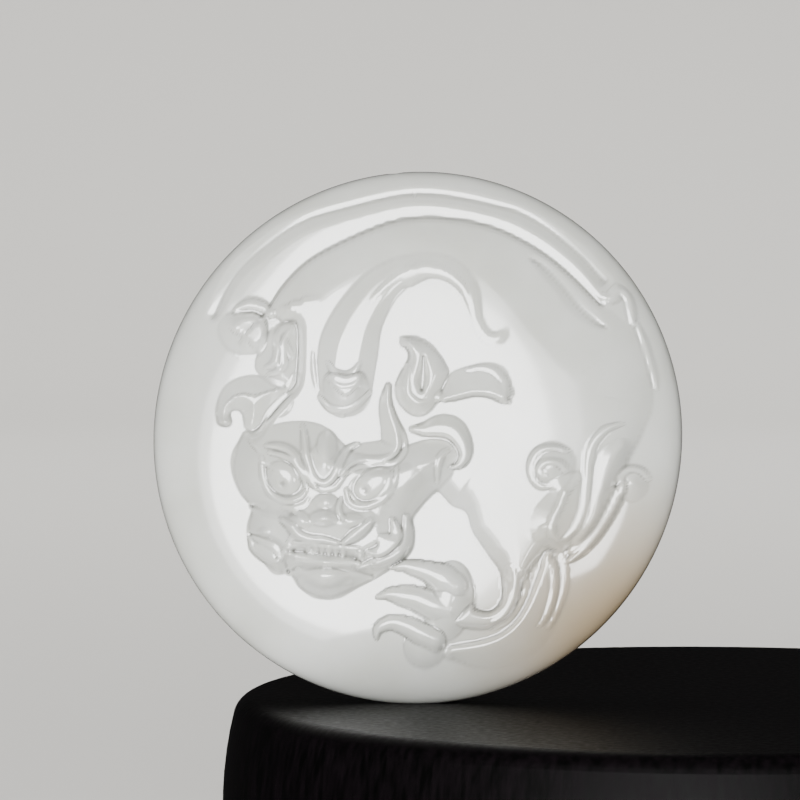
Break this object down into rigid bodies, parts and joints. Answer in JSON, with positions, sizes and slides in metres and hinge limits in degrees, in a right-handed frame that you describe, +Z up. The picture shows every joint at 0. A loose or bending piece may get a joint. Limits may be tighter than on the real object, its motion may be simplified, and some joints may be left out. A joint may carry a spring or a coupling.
{
  "type": "jade pendant on a wooden stand",
  "caption": "Round polished jade plaque carved in relief with a horned mythical beast, standing on a round black wooden plinth.",
  "frame": {"origin": "centre of the plinth's underside, on the surface it stands on", "axes": "+Z up, +X to the right as the carved face is looked at, the carved face looks along -Y"},
  "size_m": [0.1072, 0.1004, 0.0756],
  "materials": {
    "nephrite": "polished, slightly translucent",
    "ebony": "satin",
    "black_wood": "satin"
  },
  "bodies": {
    "root": {"jade_plaque": "nephrite", "plinth": "ebony", "rear_prop": "black_wood"}
  },
  "joints": []
}
